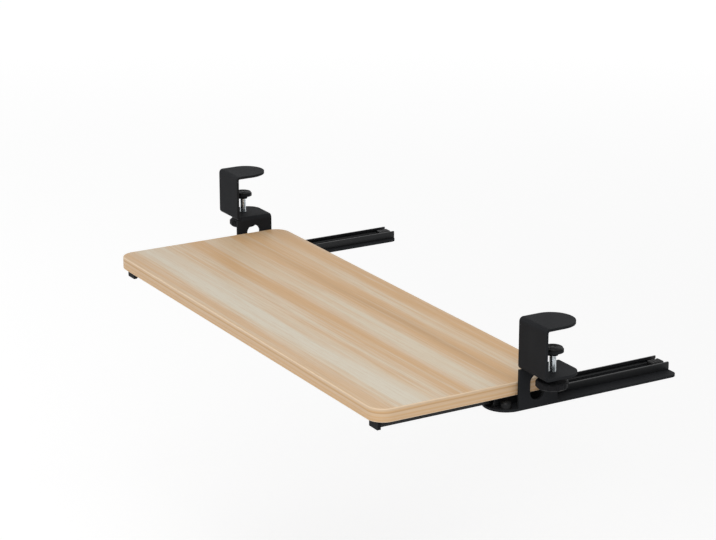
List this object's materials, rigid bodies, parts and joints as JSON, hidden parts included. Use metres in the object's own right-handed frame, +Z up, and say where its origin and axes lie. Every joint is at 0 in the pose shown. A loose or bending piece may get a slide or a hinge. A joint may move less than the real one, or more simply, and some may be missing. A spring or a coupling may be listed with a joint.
{
  "type": "keyboard tray under desk",
  "caption": "Slide-out keyboard tray: a wood-look board with round corners on ball-bearing slides, hung from bent steel desk clamps with screw knobs.",
  "frame": {"origin": "on the desk's top front edge, midway between the clamps", "axes": "+X along the desk's edge to the user's right, +Y under the desk, +Z up"},
  "size_m": [0.762, 0.394, 0.108],
  "materials": {
    "laminate": "satin wood-look laminate",
    "edge_band": "satin wood-look edge band",
    "powder_coat": "matt black powder coat",
    "rail_black": "satin black coat",
    "zinc_steel": "bright zinc plate",
    "cage_steel": "plain zinc sheet",
    "ball_steel": "polished",
    "black_plastic": "moulded, fine grain",
    "rubber": "matt"
  },
  "bodies": {
    "frame": {"left_clamp_bracket": "powder_coat", "left_jaw_pad": "rubber", "left_outer_rail": "rail_black", "left_rail_screws": "zinc_steel", "left_rail_bumper": "rubber", "left_rest_buffer": "rubber", "right_clamp_bracket": "powder_coat", "right_jaw_pad": "rubber", "right_outer_rail": "rail_black", "right_rail_screws": "zinc_steel", "right_rail_bumper": "rubber", "right_rest_buffer": "rubber"},
    "tray": {"board_core": "laminate", "edge_band": "edge_band", "left_inner_rail": "rail_black", "left_front_stop": "black_plastic", "left_tray_screws": "zinc_steel", "right_inner_rail": "rail_black", "right_front_stop": "black_plastic", "right_tray_screws": "zinc_steel"},
    "left_cage": {"left_ball_cage": "cage_steel", "left_balls": "ball_steel"},
    "left_pad": {"left_pressure_pad": "powder_coat", "left_pad_facing": "rubber"},
    "left_screw": {"left_clamp_screw": "zinc_steel", "left_clamp_knob": "black_plastic"},
    "right_cage": {"right_ball_cage": "cage_steel", "right_balls": "ball_steel"},
    "right_pad": {"right_pressure_pad": "powder_coat", "right_pad_facing": "rubber"},
    "right_screw": {"right_clamp_screw": "zinc_steel", "right_clamp_knob": "black_plastic"}
  },
  "joints": [
    {"name": "tray_slide", "type": "slide", "parent": "frame", "child": "tray", "axis": [0, 1, 0], "range_m": [0, 0.14]},
    {"name": "left_cage_roll", "type": "slide", "parent": "frame", "child": "left_cage", "axis": [0, 1, 0], "range_m": [0, 0.07]},
    {"name": "left_pad_lift", "type": "slide", "parent": "frame", "child": "left_pad", "axis": [0, 0, 1], "range_m": [-0.016, 0.0041]},
    {"name": "left_screw_turn", "type": "hinge", "parent": "left_pad", "child": "left_screw", "pos_m": [-0.36, 0.021, -0.05], "axis": [0, 0, 1], "range_deg": [-4608.1, 1180.9]},
    {"name": "right_cage_roll", "type": "slide", "parent": "frame", "child": "right_cage", "axis": [0, 1, 0], "range_m": [0, 0.07]},
    {"name": "right_pad_lift", "type": "slide", "parent": "frame", "child": "right_pad", "axis": [0, 0, 1], "range_m": [-0.016, 0.0041]},
    {"name": "right_screw_turn", "type": "hinge", "parent": "right_pad", "child": "right_screw", "pos_m": [0.36, 0.021, -0.05], "axis": [0, 0, 1], "range_deg": [-4608.1, 1180.9]}
  ],
  "couplings": [
    {"joint": "left_cage_roll", "follows": "tray_slide", "ratio": 0.5},
    {"joint": "left_screw_turn", "follows": "left_pad_lift", "rad_per_m": 5026.5},
    {"joint": "right_cage_roll", "follows": "tray_slide", "ratio": 0.5},
    {"joint": "right_screw_turn", "follows": "right_pad_lift", "rad_per_m": 5026.5}
  ]
}
